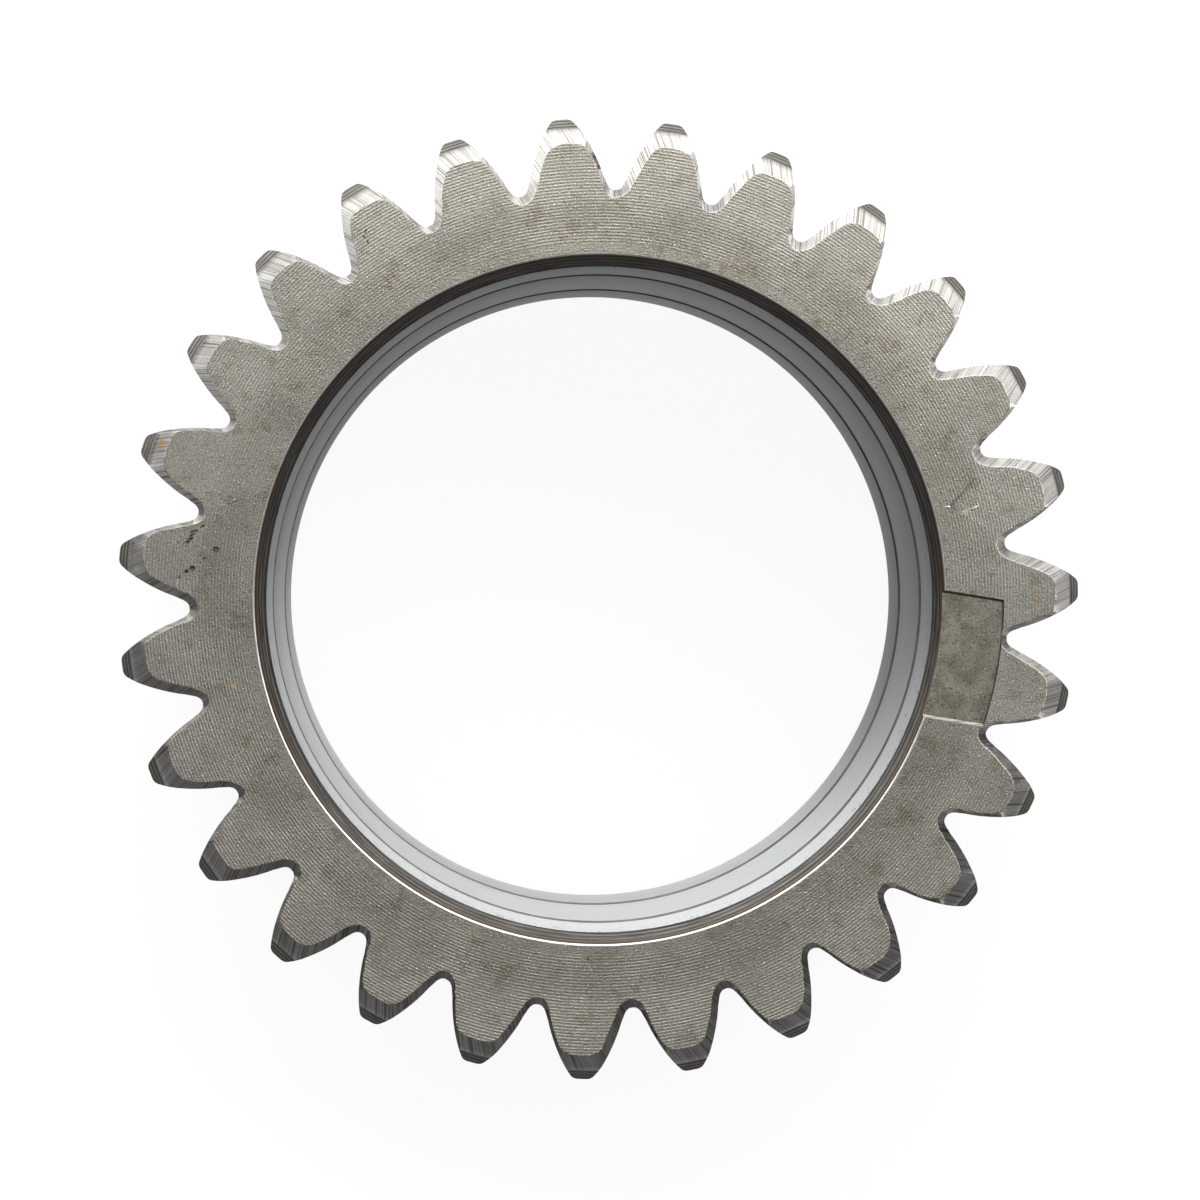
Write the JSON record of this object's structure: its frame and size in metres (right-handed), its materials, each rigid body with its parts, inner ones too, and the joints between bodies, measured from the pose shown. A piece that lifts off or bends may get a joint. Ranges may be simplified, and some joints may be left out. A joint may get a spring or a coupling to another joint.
{
  "type": "planet gear",
  "caption": "Wide steel spur gear with chamfered tooth ends and a plain bearing bore with two retaining-ring grooves.",
  "frame": {"origin": "on the bore's axis, at the rear face that the gear rests on", "axes": "+Z along the bore axis, out of the front face with the stamped panel; +X through the centre of one tooth"},
  "size_m": [0.0898, 0.09, 0.04],
  "materials": {
    "steel": "turned and hobbed, bare"
  },
  "bodies": {
    "root": {"planet_gear": "steel"}
  },
  "joints": []
}
